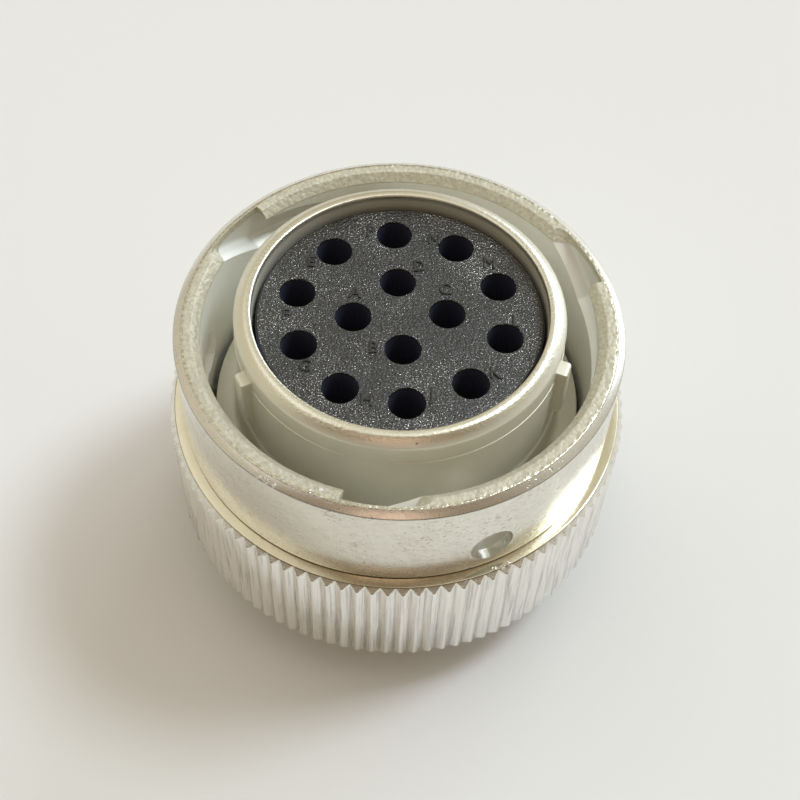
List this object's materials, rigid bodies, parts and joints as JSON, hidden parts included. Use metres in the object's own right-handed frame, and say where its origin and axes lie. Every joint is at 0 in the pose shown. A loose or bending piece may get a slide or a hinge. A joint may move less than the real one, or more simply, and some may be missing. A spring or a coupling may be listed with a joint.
{
  "type": "circular connector plug",
  "caption": "Cable plug of a circular connector: a knurled bayonet coupling ring turns and springs forward on a keyed metal shell that holds a black socket insert",
  "frame": {"origin": "centre of the shell's rear end, on the plug's axis, where it stands", "axes": "+Z along the plug's axis, out of the mating face; +Y away from the picture's viewer, close to the main key; +X to the picture's right"},
  "size_m": [0.039, 0.039, 0.028],
  "materials": {
    "shell_plating": "satin plated",
    "ring_plating": "satin plated",
    "insert_black": "rough moulded",
    "contact_gold": "gold plated",
    "spring_steel": "bright",
    "washer_steel": "bright"
  },
  "bodies": {
    "plug": {"plug_shell": "shell_plating", "contact_insert": "insert_black", "socket_contact_a": "contact_gold", "socket_contact_b": "contact_gold", "socket_contact_c": "contact_gold", "socket_contact_d": "contact_gold", "socket_contact_e": "contact_gold", "socket_contact_f": "contact_gold", "socket_contact_g": "contact_gold", "socket_contact_h": "contact_gold", "socket_contact_i": "contact_gold", "socket_contact_j": "contact_gold", "socket_contact_k": "contact_gold", "socket_contact_l": "contact_gold", "socket_contact_m": "contact_gold", "socket_contact_n": "contact_gold", "insert_retaining_ring": "spring_steel", "wave_spring": "spring_steel", "rear_washer": "washer_steel", "snap_ring": "spring_steel"},
    "slider": {"thrust_washer": "washer_steel"},
    "coupling": {"coupling_ring": "ring_plating"}
  },
  "joints": [
    {"name": "ring_slide", "type": "slide", "parent": "plug", "child": "slider", "axis": [0, 0, 1], "range_m": [0, 0.001], "stiffness_N_per_m": 3000, "springref_m": -0.002, "deforming": ["wave_spring"]},
    {"name": "ring_turn", "type": "hinge", "parent": "slider", "child": "coupling", "pos_m": [0, 0, 0.0155], "axis": [0, 0, 1], "continuous": true}
  ]
}
